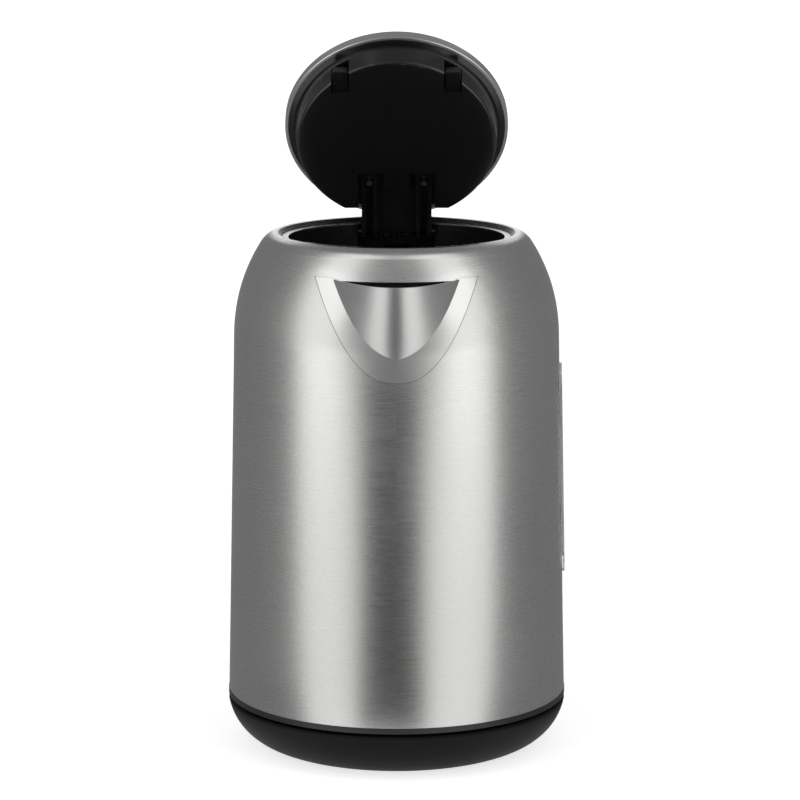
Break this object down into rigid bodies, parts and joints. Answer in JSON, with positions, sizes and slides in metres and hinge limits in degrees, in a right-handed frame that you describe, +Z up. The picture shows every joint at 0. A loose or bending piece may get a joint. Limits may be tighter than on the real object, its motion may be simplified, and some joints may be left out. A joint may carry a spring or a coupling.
{
  "type": "electric kettle",
  "caption": "Cordless electric kettle of brushed steel with a domed top, sprung flip lid, welded beak spout, rear handle, side water gauge and round power base.",
  "frame": {"origin": "on the kettle axis at the surface the power base stands on", "axes": "+Z up, -Y towards the spout (front), +Y towards the handle, +X towards the water gauge"},
  "size_m": [0.155, 0.2185, 0.3255],
  "materials": {
    "steel": "fine circumferential brushing, satin",
    "spout_steel": "bright satin",
    "inner_steel": "plain mill finish",
    "charcoal_plastic": "fine matte texture",
    "black_gloss": "polished",
    "black_matte": "matte",
    "clear_plastic": "clear",
    "white_plastic": "matte",
    "rubber": "matte",
    "silicone": "matte",
    "brass": "plain",
    "aluminium": "cast",
    "screw_steel": "plated",
    "spring_steel": "plain"
  },
  "bodies": {
    "power_base": {"base_top_cover": "charcoal_plastic", "base_bottom_cover": "charcoal_plastic", "base_foot_ring": "rubber", "base_screws": "screw_steel", "cord_gland": "black_matte", "base_connector": "black_gloss", "base_contacts": "brass"},
    "connector": {"kettle_connector": "black_matte", "connector_contacts": "brass"},
    "kettle": {"body_shell": "steel", "spout": "spout_steel", "gauge_window": "clear_plastic", "gauge_seal": "silicone", "gauge_retainer": "black_matte", "bottom_cover": "black_matte", "bottom_screws": "screw_steel", "heating_plate": "inner_steel", "heat_spreader": "aluminium", "heating_element": "inner_steel", "element_tails": "brass", "control_unit": "white_plastic", "control_screws": "screw_steel", "bimetal_discs": "spring_steel", "neck_collar": "black_gloss", "hinge_pin": "spring_steel", "hinge_spring": "spring_steel", "handle_shell": "black_matte", "handle_grip": "black_matte", "switch_axle": "spring_steel", "lever_pin": "spring_steel", "steam_tube": "silicone"},
    "button": {"release_button": "black_gloss"},
    "lever": {"release_lever": "black_matte"},
    "switch": {"switch_lever": "black_gloss"},
    "lid": {"lid_cover": "steel", "lid_plug": "black_gloss", "lid_hinge_arm": "black_gloss", "lid_screws": "screw_steel"},
    "latch": {"lid_latch": "black_gloss"},
    "filter": {"filter_frame": "black_matte", "filter_mesh": "inner_steel"}
  },
  "joints": [
    {"name": "lift_off", "type": "slide", "parent": "power_base", "child": "connector", "axis": [0, 0, 1], "range_m": [0, 0.08]},
    {"name": "base_swivel", "type": "hinge", "parent": "connector", "child": "kettle", "pos_m": [0, 0, 0.03], "axis": [0, 0, 1], "continuous": true},
    {"name": "lid_hinge", "type": "hinge", "parent": "kettle", "child": "lid", "pos_m": [0, 0.0565, 0.22888], "axis": [-1, 0, 0], "range_deg": [-58, 0], "stiffness_Nm_per_rad": 0.05, "springref_deg": 85.94},
    {"name": "latch_slide", "type": "slide", "parent": "lid", "child": "latch", "axis": [0, 0.5299, -0.848], "range_m": [0, 0.003]},
    {"name": "button_press", "type": "slide", "parent": "kettle", "child": "button", "axis": [0, 0, -1], "range_m": [0, 0.0025], "stiffness_N_per_m": 400, "springref_m": -0.002},
    {"name": "lever_swing", "type": "hinge", "parent": "kettle", "child": "lever", "pos_m": [0, 0.079, 0.21558], "axis": [-1, 0, 0], "range_deg": [0, 9.6]},
    {"name": "switch_rock", "type": "hinge", "parent": "kettle", "child": "switch", "pos_m": [0, 0.088, 0.033], "axis": [-1, 0, 0], "range_deg": [0, 12], "stiffness_Nm_per_rad": 0.05, "springref_deg": -17.19},
    {"name": "filter_pull", "type": "slide", "parent": "kettle", "child": "filter", "axis": [0, 1, 0], "range_m": [0, 0.012]}
  ],
  "couplings": [
    {"joint": "latch_slide", "follows": "button_press", "ratio": 1.2},
    {"joint": "lever_swing", "follows": "button_press", "rad_per_m": 64}
  ]
}
